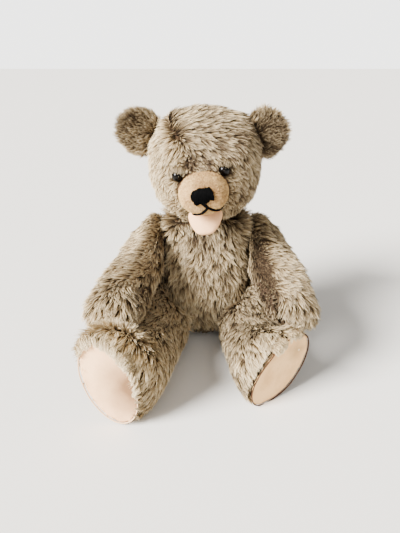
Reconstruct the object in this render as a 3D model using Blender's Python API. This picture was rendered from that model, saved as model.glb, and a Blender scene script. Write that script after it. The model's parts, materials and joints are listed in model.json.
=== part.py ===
"""Seated mohair teddy bear with five disc joints: swivel neck, two shoulders and two hips.

The bear faces -Y and sits on the floor at Z = 0. Its own left side is at +X. The origin is the middle
of the flat of its seat. Every cover is a hollow sewn skin with its stuffing inside. Each joint is a pair
of hardboard discs with two steel washers, drawn together through both skins by one cotter pin.
"""
from math import asin, cos, pi, radians, sin

import bmesh
import bpy
from mathutils import Euler, Matrix, Vector
from mathutils.bvhtree import BVHTree

MM = 0.001

# Skins, in millimetres
WALL = 3.0  # backing cloth with the dense roots of its pile
FIT = 0.4  # clearance between pieces that touch
OUTSIDE = (14, 2)  # facets round a form, and rings from one section to the next
INSIDE = (10, 1)
DOME_STEPS = (radians(36), radians(65))  # where the rings of a rounded end lie
SHARP_EDGE = radians(50)

# Disc joints, in millimetres
PLAY = 0.3  # half of the gap between the two skins of a joint
DISC_THICKNESS = 3.0
WASHER_RADIUS = 7.0
WASHER_THICKNESS = 1.0
PIN_WIRE = 0.9
PIN_LEG_OFFSET = 1.1
PIN_EYE_RADIUS = 3.4
PIN_CURL_RADIUS = 3.6
PIN_HOLE = 2.6
POCKET_RADIUS = 12.0
PIN_ROOM = {"torso": 16.0, "limb": 20.0}  # how far the stuffing is parted for each end of a pin
POCKET_START = -3.0
HOLE_REACH = 9.0  # a pin hole goes this far each side of its joint
DISC_SIDES = 14
WASHER_SIDES = 10

# Where each joint lies: centre in millimetres, direction from the torso into the limb, disc radius
HIP_TILT = radians(8)
NECK = (Vector((0, 4, 151)), Vector((0, 0, 1)), 14.0)
SHOULDERS = {
    "left": (Vector((51, -3, 119)), Vector((1, 0, 0)), 16.0),
    "right": (Vector((-51, -3, 119)), Vector((-1, 0, 0)), 16.0),
}
HIPS = {
    "left": (Vector((43, -3, 40)), Vector((cos(HIP_TILT), 0, -sin(HIP_TILT))), 20.0),
    "right": (Vector((-43, -3, 40)), Vector((-cos(HIP_TILT), 0, -sin(HIP_TILT))), 20.0),
}

# How far each rounded end reaches past its last section, in millimetres
TORSO_END = 9.0
HEAD_END = 6.0
ARM_START = 8.0
ARM_END = 12.0
LEG_START = 14.0
JAW_END = 4.0

# A section is x, y, z, half width, half depth in millimetres, then pitch, yaw and roll in degrees.
# Pitch 0 faces up and 90 faces forward. A ninth value squares the section's upper half: 2 is round.
ROUND = 2.0
TORSO = (
    (0, 2, -2, 42, 40, 0, 0, 0),
    (0, -2, 26, 58, 50, 0, 0, 0),
    (0, -3, 62, 62, 53, 0, 0, 0),
    (0, -1, 97, 61, 50, 0, 0, 0),
    (0, 2, 128, 59, 45, 0, 0, 0),
    (0, 4, 149, 49, 38, 0, 0, 0),
)
HEAD = (
    (-2, 56, 213, 42, 38, 90, 0, 0, 2.4),
    (-2, 40, 213, 57, 53, 90, 0, 0, 2.7),
    (-2, 15, 211, 63, 64, 90, 0, 0, 3.0),
    (-2, -12, 211, 64, 64, 90, 0, 0, 3.0),
    (-2, -36, 206, 60, 55, 92, 0, 0, 2.8),
    (-3, -51, 201, 50, 43, 94, 0, 2, 2.4),
    (-4, -60, 195, 31, 25, 95, 0, 6, 2.1),
    (-4, -67, 195, 27, 20.5, 95, 0, 8, 2.0),
    (-4, -82, 195, 26, 19.5, 95, 0, 8, 2.0),
    (-4, -99, 194, 21, 15, 95, 0, 8, 2.0),
)
MUZZLE_SEAM_Y = -62.0
ARMS = {
    "left": (
        (69, 22, 121, 29, 28, 95, 0, 0),
        (69, -3, 119, 30, 31, 100, 0, 0),
        (75, -42, 107, 28, 30, 110, 5, -6),
        (86, -80, 92, 28, 27, 107, 12, -16),
        (92, -108, 81, 28, 23, 98, 12, -24),
        (95, -121, 79, 26, 20, 94, 10, -24),
    ),
    "right": (
        (-69, 22, 121, 29, 28, 95, 0, 0),
        (-69, -3, 119, 30, 31, 98, 0, 0),
        (-77, -50, 107, 28, 30, 106, -5, 4),
        (-90, -95, 95, 28, 27, 101, -10, 12),
        (-97, -128, 89, 28, 24, 95, -8, 16),
        (-99, -142, 90, 26, 20, 90, -5, 16),
    ),
}
LEGS = {
    "left": (
        (67, 24, 39, 34, 30, 90, 0, 0),
        (67, -3, 39, 35, 38, 90, 0, 0),
        (62, -40, 37, 34, 36, 90, -6, 0),
        (50, -78, 33, 35, 33, 90, -4, 0),
        (54, -108, 31, 36, 31, 90, 10, -12),
        (58, -134, 33, 38, 34, 90, 22, -28),
        (68, -150, 36, 34, 42, 92, 32, -37),
        (75.5, -158.5, 35, 27.5, 43.5, 93, 34.8, -40),
    ),
    "right": (
        (-67, 24, 39, 34, 30, 90, 0, 0),
        (-67, -3, 39, 35, 38, 90, 0, 0),
        (-64, -40, 37, 34, 36, 90, 5, 0),
        (-56, -75, 33, 36, 34, 90, 2, 3),
        (-64, -108, 31, 37, 31, 90, -8, 8),
        (-72, -145, 34, 38, 35, 89, -14, 16),
        (-82, -178, 41, 37, 45, 87, -17.5, 24),
        (-94, -195, 43, 28, 45, 86.6, -17.5, 24),
    ),
}
HIP_SWING = 60.0  # nearer to its hip's axis than this, a leg stays beside the torso
SOLE_INSET = 1.2  # the felt sole ends this far inside the edge of the skin
FELT = 2.0
INSOLE_CARD = 1.5
SOLE_SLIDE = 2.0  # how far the inside of a foot passes the open end of its skin
PAW_TILT = radians(14)
PAW_REACH = (-30, 24)  # how far the outline of a palm goes out of and into the hand
PAW_PADS = {
    # centre of the palm on the inner side of the hand, then half length and half width
    "left": (Vector((70, -104, 84)), 26.0, 15.0),
    "right": (Vector((-69, -124, 88)), 26.0, 15.0),
}
EARS = {
    # centre, turn in degrees about Z, lean in degrees about Y
    "left": (Vector((65, 0, 247)), 12.0, 34.0),
    "right": (Vector((-74, 2, 249)), -12.0, -34.0),
}
EAR_HALF_WIDTH = 27.0
EAR_HALF_THICKNESS = 8.0
EAR_CUP = 7.0
EAR_SEGMENTS = (14, 8)
EYE_RADIUS = 6.4
EYE_DEPTH = 1.5  # how far the middle of an eye lies behind the surface of the face
EYE_SEGMENTS = (12, 6)
EYES = {"left": (18.0, 217.0), "right": (-32.0, 210.5)}  # x and z on the face
NOSE_OUTLINE = ((-12, 4), (-7.5, 7), (7, 7.5), (10.5, 3.5), (10, -3.5), (2, -5.5), (-6.5, -6.5), (-11, -1))
NOSE_CENTRE = Vector((-4, 200))
FACE_TILT = radians(8)
NOSE_PROUD = 2.0
NOSE_REACH = (-118, -84)  # front and back of the prism that gives the nose its outline
THREAD = 1.4
THREAD_SIDES = 6
THREAD_POINTS = 5
MOUTH_DROP = ((0.5, -6.8), (2.5, -10.5), (4.5, -14.5))
MOUTH_RIGHT = ((4.5, -14.5), (-3, -18.5), (-11, -18.0))
MOUTH_LEFT = ((4.5, -14.5), (12, -17.0), (18.5, -15.0))
JAW = (
    (-2, -62, 170, 19, 9.5, 116, 0, 8),
    (-2, -73, 169, 19, 9, 120, 0, 8),
    (-2, -82, 163, 16, 6.5, 124, 0, 8),
    (-2, -87.5, 157.5, 11, 4, 126, 0, 8),
)

COLOURS = {
    # base colour, roughness, metallic
    "mohair": ((0.60, 0.49, 0.36, 1), 0.92, 0.0),
    "mohair_ear": ((0.36, 0.26, 0.18, 1), 0.92, 0.0),
    "shorn_mohair": ((0.80, 0.66, 0.49, 1), 0.90, 0.0),
    "felt": ((0.86, 0.74, 0.62, 1), 0.95, 0.0),
    "jaw_felt": ((0.92, 0.78, 0.66, 1), 0.95, 0.0),
    "black_thread": ((0.02, 0.02, 0.02, 1), 0.6, 0.0),
    "glass": ((0.05, 0.025, 0.015, 1), 0.08, 0.0),
    "wood_wool": ((0.72, 0.58, 0.36, 1), 0.95, 0.0),
    "hardboard": ((0.42, 0.29, 0.18, 1), 0.8, 0.0),
    "card": ((0.60, 0.52, 0.42, 1), 0.9, 0.0),
    "steel": ((0.55, 0.55, 0.56, 1), 0.4, 1.0),
}


def material(kind):
    made = bpy.data.materials.get(kind)
    if made is None:
        made = bpy.data.materials.new(kind)
        made.use_nodes = True
        colour, roughness, metallic = COLOURS[kind]
        shader = made.node_tree.nodes["Principled BSDF"]
        shader.inputs["Base Color"].default_value = colour
        shader.inputs["Roughness"].default_value = roughness
        shader.inputs["Metallic"].default_value = metallic
    return made


def add_object(name, bm, kind, origin=Vector(), hidden=False):
    """A named object from a mesh in millimetres, with its origin at the given point in millimetres."""
    bmesh.ops.recalc_face_normals(bm, faces=bm.faces)
    bmesh.ops.transform(bm, matrix=Matrix.Scale(MM, 4) @ Matrix.Translation(-origin), verts=bm.verts)
    mesh = bpy.data.meshes.new(name)
    bm.to_mesh(mesh)
    bm.free()
    mesh.shade_smooth()
    mesh.set_sharp_from_angle(angle=SHARP_EDGE)
    obj = bpy.data.objects.new(name, mesh)
    obj.location = origin * MM
    obj.data.materials.append(material(kind))
    bpy.context.scene.collection.objects.link(obj)
    if hidden:
        obj.hide_render = True
        obj.display_type = "WIRE"
    return obj


def cut(obj, cutter, operation="DIFFERENCE"):
    modifier = obj.modifiers.new(cutter.name, "BOOLEAN")
    modifier.operation = operation
    modifier.object = cutter
    modifier.solver = "EXACT"


def between(before, start, end, after, t):
    """One number on the smooth curve from start to end."""
    return 0.5 * (
        2 * start
        + (end - before) * t
        + (2 * before - 5 * start + 4 * end - after) * t * t
        + (3 * start - before - 3 * end + after) * t**3
    )


def section_at(sections, place):
    """The section at a place between the given ones, where 1.5 is halfway from the second to the third."""
    last = len(sections) - 1
    index = min(int(place), last - 1)
    around = [sections[min(max(index + k, 0), last)] for k in (-1, 0, 1, 2)]
    return [between(*values, place - index) for values in zip(*around)]


def axes_of(section):
    """The centre of a section, its width and depth vectors of unit length, and the way it faces."""
    x, y, z, _, _, pitch, yaw, roll = section[:8]
    turn = Euler((radians(pitch), 0, 0)).to_matrix()
    turn = Euler((0, 0, radians(yaw))).to_matrix() @ turn @ Euler((0, 0, radians(roll))).to_matrix()
    return Vector((x, y, z)), turn @ Vector((1, 0, 0)), turn @ Vector((0, 1, 0)), turn @ Vector((0, 0, 1))


def add_ring(bm, section, scale, inset, slide, sides):
    """One ring of the form, inset from its surface and slid along the way that it faces."""
    centre, across, depth, facing = axes_of(section)
    width = max(section[3] - inset, 0.5) * scale
    thickness = max(section[4] - inset, 0.5) * scale
    squareness = section[8] if len(section) > 8 else ROUND
    ring = []
    for k in range(sides):
        angle = 2 * pi * k / sides
        power = squareness if sin(angle) > 0 else ROUND
        reach = (abs(cos(angle)) ** power + abs(sin(angle)) ** power) ** (-1 / power)
        outward = across * width * cos(angle) + depth * thickness * sin(angle)
        ring.append(bm.verts.new(centre + outward * reach + facing * slide))
    return ring


def bridge(bm, first, second):
    """Joins two rings with triangles, so that nested forms are folded the same way."""
    for k in range(len(first)):
        after = (k + 1) % len(first)
        bm.faces.new((first[k], first[after], second[after]))
        bm.faces.new((first[k], second[after], second[k]))


def dome(bm, section, inset, reach, outward, sides):
    """Rings of a rounded end that reaches past its section, smallest last, and the point that closes it."""
    facing = axes_of(section)[3]
    rings = []
    for angle in DOME_STEPS:
        slide = outward * (reach - inset) * sin(angle)
        rings.append(add_ring(bm, section, cos(angle), inset, slide, sides))
    tip = bm.verts.new(axes_of(section)[0] + facing * outward * (reach - inset))
    return rings, tip


def form(sections, inset=0.0, start_reach=0.0, end_reach=0.0, end_slide=0.0):
    """A closed soft form through its sections. An end with a reach is a dome, and one without is flat."""
    bm = bmesh.new()
    rings = []
    tips = []
    sides, steps = OUTSIDE if inset <= 0 else INSIDE
    if start_reach:
        domed, tip = dome(bm, sections[0], inset, start_reach, -1, sides)
        rings += domed[::-1]
        tips.append((tip, rings[0]))
    count = (len(sections) - 1) * steps
    for k in range(count + 1):
        slide = end_slide if k == count else 0.0
        rings.append(add_ring(bm, section_at(sections, k / steps), 1.0, inset, slide, sides))
    if end_reach:
        domed, tip = dome(bm, sections[-1], inset, end_reach, 1, sides)
        rings += domed
        tips.append((tip, rings[-1]))
    for first, second in zip(rings, rings[1:]):
        bridge(bm, first, second)
    for tip, ring in tips:
        for k in range(sides):
            bm.faces.new((tip, ring[k], ring[(k + 1) % sides]))
    if not start_reach:
        bm.faces.new(rings[0])
    if not end_reach:
        bm.faces.new(rings[-1])
    return bm


def trim(bm, point, normal):
    """Cuts the form flat at a plane and takes away what lies on the side that the normal points to."""
    geometry = bm.verts[:] + bm.edges[:] + bm.faces[:]
    made = bmesh.ops.bisect_plane(
        bm, geom=geometry, dist=1e-5, plane_co=point, plane_no=normal, clear_outer=True
    )
    edges = [item for item in made["geom_cut"] if isinstance(item, bmesh.types.BMEdge)]
    if edges:
        bmesh.ops.contextual_create(bm, geom=edges)
    return bm


def rotation_to(direction):
    return Vector((0, 0, 1)).rotation_difference(direction).to_matrix().to_4x4()


def tube(centre, direction, radius, low, high, sides=16, bore=0.0):
    """A round solid about an axis, from one distance along it to another, with a bore if one is given."""
    bm = bmesh.new()
    place = Matrix.Translation(centre) @ rotation_to(direction)
    outlines = []
    for height in (low, high):
        for size in (radius, bore):
            ring = []
            for k in range(sides):
                angle = 2 * pi * k / sides
                ring.append(bm.verts.new(place @ Vector((size * cos(angle), size * sin(angle), height))))
                if not size:
                    break
            outlines.append(ring)
    outer_low, inner_low, outer_high, inner_high = outlines
    bridge(bm, outer_low, outer_high)
    if bore:
        bridge(bm, inner_low, outer_low)
        bridge(bm, outer_high, inner_high)
        bridge(bm, inner_high, inner_low)
        return bm
    for middle, ring in ((inner_low[0], outer_low), (inner_high[0], outer_high)):
        for k in range(sides):
            bm.faces.new((middle, ring[k], ring[(k + 1) % sides]))
    return bm


def add_cutter(name, bm):
    return add_object("cutter_" + name, bm, "steel", hidden=True)


def add_pin(name, centre, direction, origin):
    """A cotter pin: one wire with an eye in the limb and both ends rolled back inside the torso."""
    rolled = PLAY + WALL + DISC_THICKNESS + WASHER_THICKNESS + 4 * FIT + PIN_WIRE
    half = []
    for k in range(4):
        angle = pi * (k + 1) / 4
        x = PIN_LEG_OFFSET + PIN_CURL_RADIUS * (1 + cos(angle))
        half.append((x, -rolled - PIN_CURL_RADIUS * sin(angle)))
    neck = asin(PIN_LEG_OFFSET / PIN_EYE_RADIUS)
    for k in range(5):
        angle = neck + (pi - neck) * k / 4
        height = rolled + PIN_EYE_RADIUS * (1 - cos(angle))
        half.append((PIN_EYE_RADIUS * sin(angle), height))
    whole = half + [(-x, z) for x, z in half[-2::-1]]
    curve = bpy.data.curves.new(name, "CURVE")
    curve.dimensions = "3D"
    curve.bevel_depth = PIN_WIRE * MM
    curve.bevel_resolution = 1
    curve.use_fill_caps = True
    spline = curve.splines.new("POLY")
    spline.points.add(len(whole) - 1)
    place = Matrix.Translation(centre - origin) @ rotation_to(direction)
    for point, (x, z) in zip(spline.points, whole):
        point.co = (*(place @ Vector((x, 0, z)) * MM), 1)
    obj = bpy.data.objects.new(name, curve)
    obj.location = origin * MM
    obj.data.materials.append(material("steel"))
    bpy.context.scene.collection.objects.link(obj)


def add_joint(name, joint):
    """The discs, washers and pin of one joint. The limb's pieces have their origin on the joint's axis."""
    centre, direction, radius = joint
    start = PLAY + WALL + FIT
    washer = start + DISC_THICKNESS + FIT
    for side, origin, sense in (("torso", Vector(), -1), ("limb", centre, 1)):
        way = direction * sense
        bm = tube(centre, way, radius, start, start + DISC_THICKNESS, DISC_SIDES, PIN_HOLE)
        add_object(f"{name}_{side}_disc", bm, "hardboard", origin)
        bm = tube(centre, way, WASHER_RADIUS, washer, washer + WASHER_THICKNESS, WASHER_SIDES, PIN_HOLE)
        add_object(f"{name}_{side}_washer", bm, "steel", origin)
    add_pin(f"{name}_cotter_pin", centre, direction, Vector())


def pockets(joint, side):
    """Cutters for the room that a joint's hardware takes in the stuffing of the torso or of a limb."""
    centre, direction, radius = joint
    way = direction if side == "limb" else -direction
    disc_end = PLAY + WALL + DISC_THICKNESS + 2 * FIT
    return (
        tube(centre, way, radius + 2 * FIT, POCKET_START, disc_end, 16),
        tube(centre, way, POCKET_RADIUS, POCKET_START, PIN_ROOM[side], 12),
    )


def keep_beside_torso(obj, joint, inset):
    """Takes away what would run into the torso as the leg swings."""
    centre, direction, _ = joint
    room = tube(centre, -direction, HIP_SWING + inset, -PLAY - inset, HIP_SWING, 24)
    cut(obj, add_cutter(f"{obj.name}_swing", room))


def make_skin(name, outer, inner, joints, kind, origin=Vector()):
    """A hollow skin: the outer form less its inside, with a hole for each joint's pin."""
    skin = add_object(name, outer, kind, origin)
    hollow = add_cutter(name + "_inside", inner)
    if "hip" in joints:
        keep_beside_torso(skin, joints["hip"], 0)
        keep_beside_torso(hollow, joints["hip"], WALL)
    cut(skin, hollow)
    for key, (centre, direction, _) in joints.items():
        hole = tube(centre, direction, PIN_HOLE, -HOLE_REACH, HOLE_REACH, 10)
        cut(skin, add_cutter(f"{name}_{key}_hole", hole))
    return skin


def make_stuffing(name, filling, joints, side, origin=Vector()):
    stuffing = add_object(name, filling, "wood_wool", origin)
    for key, joint in joints.items():
        for number, pocket in enumerate(pockets(joint, side)):
            cut(stuffing, add_cutter(f"{name}_{key}_pocket_{number}", pocket))
    return stuffing


def torso_form(inset):
    bm = form(TORSO, inset, start_reach=TORSO_END, end_reach=TORSO_END)
    trim(bm, Vector((0, 0, inset)), Vector((0, 0, -1)))
    for centre, direction, _ in (NECK, *SHOULDERS.values(), *HIPS.values()):
        trim(bm, centre - direction * (PLAY + inset), direction)
    return bm


def make_torso():
    joints = {"neck": NECK}
    for side in ("left", "right"):
        joints["shoulder_" + side] = SHOULDERS[side]
        joints["hip_" + side] = HIPS[side]
    make_skin("torso_cover", torso_form(0), torso_form(WALL), joints, "mohair")
    make_stuffing("torso_stuffing", torso_form(WALL + FIT), joints, "torso")


def arm_form(side, inset):
    """An arm, flat on its inner side where its joint bears on the torso."""
    centre, direction, _ = SHOULDERS[side]
    bm = form(ARMS[side], inset, start_reach=ARM_START, end_reach=ARM_END)
    return trim(bm, centre + direction * (PLAY + inset), -direction)


def leg_form(side, inset, end_slide=0.0):
    """A leg that ends flat at the sole, and is flat below where it rests on the floor."""
    bm = form(LEGS[side], inset, start_reach=LEG_START, end_slide=end_slide)
    return trim(bm, Vector((0, 0, inset)), Vector((0, 0, -1)))


def palm_pad(side):
    """The felt palm, which follows the inner side of the hand."""
    centre, length, width = PAW_PADS[side]
    way = Vector((centre.x, 0, 0)).normalized()
    outline = tube(Vector(), Vector((0, 0, 1)), 1, *PAW_REACH)
    bmesh.ops.scale(outline, vec=(width, length, 1), verts=outline.verts)
    turn = Matrix.Rotation(PAW_TILT, 4, "X")
    place = Matrix.Translation(centre) @ turn @ rotation_to(-way)
    bmesh.ops.transform(outline, matrix=place, verts=outline.verts)
    pad = add_object(f"arm_{side}_paw_pad", arm_form(side, -FIT - FELT), "felt", SHOULDERS[side][0])
    cut(pad, add_cutter(f"paw_{side}_outline", outline), "INTERSECT")
    cut(pad, add_cutter(f"paw_{side}_back", arm_form(side, -FIT)))


def make_arm(side):
    joints = {"shoulder": SHOULDERS[side]}
    origin = SHOULDERS[side][0]
    make_skin(f"arm_{side}_cover", arm_form(side, 0), arm_form(side, WALL), joints, "mohair", origin)
    make_stuffing(f"arm_{side}_stuffing", arm_form(side, WALL + FIT), joints, "limb", origin)


def make_foot_pad(side, origin):
    section = LEGS[side][-1]
    bm = bmesh.new()
    rings = [add_ring(bm, section, 1.0, SOLE_INSET, slide, OUTSIDE[0]) for slide in (FIT, FIT + FELT)]
    bridge(bm, rings[0], rings[1])
    bm.faces.new(rings[0])
    bm.faces.new(rings[1])
    trim(bm, Vector((0, 0, FIT)), Vector((0, 0, -1)))
    add_object(f"leg_{side}_foot_pad", bm, "felt", origin)


def make_leg(side):
    joints = {"hip": HIPS[side]}
    origin = HIPS[side][0]
    hollow = leg_form(side, WALL, SOLE_SLIDE)
    make_skin(f"leg_{side}_cover", leg_form(side, 0), hollow, joints, "mohair", origin)
    sole, _, _, facing = axes_of(LEGS[side][-1])
    card = trim(leg_form(side, WALL + FIT, SOLE_SLIDE), sole - facing * FIT, facing)
    trim(card, sole - facing * (FIT + INSOLE_CARD), -facing)
    add_object(f"leg_{side}_insole", card, "card", origin)
    filling = leg_form(side, WALL + FIT, SOLE_SLIDE)
    trim(filling, sole - facing * (2 * FIT + INSOLE_CARD), facing)
    stuffing = make_stuffing(f"leg_{side}_stuffing", filling, joints, "limb", origin)
    keep_beside_torso(stuffing, HIPS[side], WALL + FIT)
    make_foot_pad(side, origin)


def head_form(inset):
    bm = form(HEAD, inset, start_reach=HEAD_END, end_reach=HEAD_END)
    centre, direction, _ = NECK
    return trim(bm, centre + direction * (PLAY + inset), -direction)


def surface_y(tree, x, z):
    """How far forward the face is at a place, seen from the front."""
    hit = tree.ray_cast(Vector((x, -200, z)), Vector((0, 1, 0)))[0]
    return hit.y


def on_tilted_face(across, up):
    """The x and z of a place on the tilted face, given from the middle of the nose."""
    x = NOSE_CENTRE.x + across * cos(FACE_TILT) - up * sin(FACE_TILT)
    return x, NOSE_CENTRE.y + across * sin(FACE_TILT) + up * cos(FACE_TILT)


def make_nose(origin):
    """A pad of satin stitches: the nose's outline pushed through the skin of the muzzle."""
    bm = bmesh.new()
    rings = []
    for y in NOSE_REACH:
        ring = []
        for across, up in NOSE_OUTLINE:
            x, z = on_tilted_face(across, up)
            ring.append(bm.verts.new((x, y, z)))
        rings.append(ring)
        bm.faces.new(ring)
    bridge(bm, rings[0], rings[1])
    nose = add_object("nose_stitching", bm, "black_thread", origin)
    cut(nose, add_cutter("nose_front", head_form(-FIT - NOSE_PROUD)), "INTERSECT")
    cut(nose, add_cutter("nose_back", head_form(-FIT)))


def thread(points):
    """A closed round thread through points, as a mesh."""
    bm = bmesh.new()
    rings = []
    for k, point in enumerate(points):
        ahead = points[min(k + 1, len(points) - 1)] - points[max(k - 1, 0)]
        turn = rotation_to(ahead.normalized())
        rings.append([])
        for n in range(THREAD_SIDES):
            angle = 2 * pi * n / THREAD_SIDES
            offset = turn @ Vector((THREAD * cos(angle), THREAD * sin(angle), 0))
            rings[-1].append(bm.verts.new(point + offset))
    for first, second in zip(rings, rings[1:]):
        bridge(bm, first, second)
    bm.faces.new(rings[0])
    bm.faces.new(rings[-1])
    return bm


def make_mouth(tree, origin):
    """One drop from the nose and a curve to each side, half sunk into the plush and cut to its surface."""
    tubes = []
    for route in (MOUTH_DROP, MOUTH_RIGHT, MOUTH_LEFT):
        points = []
        for k in range(THREAD_POINTS):
            x, z = on_tilted_face(*section_at(route, k * (len(route) - 1) / (THREAD_POINTS - 1)))
            points.append(Vector((x, surface_y(tree, x, z) - FIT, z)))
        tubes.append(thread(points))
    mouth = add_object("mouth_stitching", tubes[0], "black_thread", origin)
    cut(mouth, add_cutter("mouth_right", tubes[1]), "UNION")
    cut(mouth, add_cutter("mouth_left", tubes[2]), "UNION")
    cut(mouth, add_cutter("mouth_seat", head_form(-FIT)))


def ball(centre, radius):
    bm = bmesh.new()
    bmesh.ops.create_uvsphere(bm, u_segments=EYE_SEGMENTS[0], v_segments=EYE_SEGMENTS[1], radius=radius)
    turn = Matrix.Rotation(pi / 2, 4, "X")
    bmesh.ops.transform(bm, matrix=Matrix.Translation(centre) @ turn, verts=bm.verts)
    return bm


def make_eyes(tree, origin, around):
    for side, (x, z) in EYES.items():
        centre = Vector((x, surface_y(tree, x, z) + EYE_DEPTH, z))
        add_object(f"eye_{side}", ball(centre, EYE_RADIUS), "glass", origin)
        for obj in around:
            cut(obj, add_cutter(f"{obj.name}_{side}_socket", ball(centre, EYE_RADIUS + FIT)))


def ear_form(side):
    """A cupped half round of two layers sewn together, standing across the side of the head."""
    centre, turn, lean = EARS[side]
    bm = bmesh.new()
    bmesh.ops.create_uvsphere(bm, u_segments=EAR_SEGMENTS[0], v_segments=EAR_SEGMENTS[1], radius=1)
    for vert in bm.verts:
        x, y, z = vert.co
        cupped = EAR_CUP * (x * x + z * z)
        vert.co = Vector((x * EAR_HALF_WIDTH, y * EAR_HALF_THICKNESS - cupped, z * EAR_HALF_WIDTH))
    place = Matrix.Translation(centre) @ Matrix.Rotation(radians(turn), 4, "Z")
    bmesh.ops.transform(bm, matrix=place @ Matrix.Rotation(radians(lean), 4, "Y"), verts=bm.verts)
    return bm


def make_head():
    origin = NECK[0]
    seam = Vector((0, MUZZLE_SEAM_Y, 0))
    forward = Vector((0, -1, 0))
    tree = BVHTree.FromBMesh(head_form(0))
    skull = trim(head_form(0), seam, forward)
    cover = make_skin("head_cover", skull, head_form(WALL), {"neck": NECK}, "mohair", origin)
    snout = trim(head_form(0), seam + forward * FIT, -forward)
    muzzle = add_object("muzzle_cover", snout, "shorn_mohair", origin)
    cut(muzzle, add_cutter("muzzle_inside", head_form(WALL)))
    stuffing = make_stuffing("head_stuffing", head_form(WALL + FIT), {"neck": NECK}, "limb", origin)
    jaw = form(JAW, 0, end_reach=JAW_END)
    trim(jaw, seam + forward * 2 * FIT, -forward)
    chin = add_object("lower_jaw", jaw, "jaw_felt", origin)
    cut(chin, add_cutter("jaw_seat", head_form(-FIT)))
    make_eyes(tree, origin, (cover, muzzle, stuffing))
    make_nose(origin)
    make_mouth(tree, origin)
    for side in EARS:
        ear = add_object(f"ear_{side}", ear_form(side), "mohair_ear", origin)
        cut(ear, add_cutter(f"ear_{side}_seat", head_form(-FIT)))


def clear_scene():
    for obj in list(bpy.data.objects):
        bpy.data.objects.remove(obj, do_unlink=True)


def main():
    clear_scene()
    make_torso()
    make_head()
    add_joint("neck", NECK)
    for side in ("left", "right"):
        make_arm(side)
        palm_pad(side)
        make_leg(side)
        add_joint(f"shoulder_{side}", SHOULDERS[side])
        add_joint(f"hip_{side}", HIPS[side])


main()
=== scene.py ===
"""The worn mohair bear dressed: sewn skins, long pile, shorn muzzle, felt soles, stitched nose and glass eyes."""
import json
from math import cos, pi, radians, sin

import bmesh
import bpy
import numpy as np
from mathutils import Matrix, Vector, kdtree
from mathutils.bvhtree import BVHTree


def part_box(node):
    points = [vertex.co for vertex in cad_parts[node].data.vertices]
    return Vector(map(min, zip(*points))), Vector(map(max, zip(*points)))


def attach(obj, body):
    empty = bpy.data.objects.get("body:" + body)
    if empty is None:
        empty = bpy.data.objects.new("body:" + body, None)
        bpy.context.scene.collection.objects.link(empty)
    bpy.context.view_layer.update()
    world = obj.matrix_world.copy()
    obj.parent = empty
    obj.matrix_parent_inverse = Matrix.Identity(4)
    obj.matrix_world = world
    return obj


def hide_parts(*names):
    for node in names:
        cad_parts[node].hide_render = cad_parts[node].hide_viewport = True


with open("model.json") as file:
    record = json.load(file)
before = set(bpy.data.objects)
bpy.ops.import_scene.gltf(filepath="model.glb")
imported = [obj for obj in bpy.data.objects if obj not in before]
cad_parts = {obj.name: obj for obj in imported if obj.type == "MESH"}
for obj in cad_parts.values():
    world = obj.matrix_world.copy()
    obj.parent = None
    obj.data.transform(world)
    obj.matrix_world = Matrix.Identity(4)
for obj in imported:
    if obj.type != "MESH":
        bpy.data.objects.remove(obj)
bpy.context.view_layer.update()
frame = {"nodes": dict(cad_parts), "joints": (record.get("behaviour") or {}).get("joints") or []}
NODES = frame["nodes"]
JOINTS = {j["child"]: (np.array(j["pos_m"]), np.array(j["axis"], float)) for j in frame["joints"]}

UNDER_PILE = 0.0025  # how far a skin lies inside its solid, to leave room for the pile
ABOVE_FLOOR = 0.0004  # no strand hangs lower than this
STRAND_WIDTH = 0.00092
TINTS = (0.02, 0.97)  # the palest and the darkest lock
STRANDS = {
    "torso": 40000, "head": 53000, "ear": 9000, "muzzle": 13000,
    "arm": 28000, "palm": 2400, "leg": 39000, "tuft": 36,
}


# Shader maths

class Sum:
    """A socket whose value can be written into an expression."""

    def __init__(self, tree, socket):
        self.tree = tree
        self.socket = socket

    def math(self, operation, other):
        node = self.tree.nodes.new("ShaderNodeMath")
        node.operation = operation
        for slot, value in zip(node.inputs, (self, other)):
            set_input(self.tree, slot, value)
        return Sum(self.tree, node.outputs[0])

    def __add__(self, other):
        return self.math("ADD", other)

    def __mul__(self, other):
        return self.math("MULTIPLY", other)

    __radd__ = __add__
    __rmul__ = __mul__


def set_stops(ramp, stops):
    elements = ramp.color_ramp.elements
    while len(elements) < len(stops):
        elements.new(0.5)
    for element, (place, colour) in zip(elements, stops):
        element.position = place
        element.color = (*colour, 1)


def set_input(tree, slot, value):
    if isinstance(value, Sum):
        tree.links.new(value.socket, slot)
    elif isinstance(value, (tuple, list)) and len(value) == 3 and slot.type == "RGBA":
        slot.default_value = (*value, 1)
    else:
        slot.default_value = value


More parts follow.
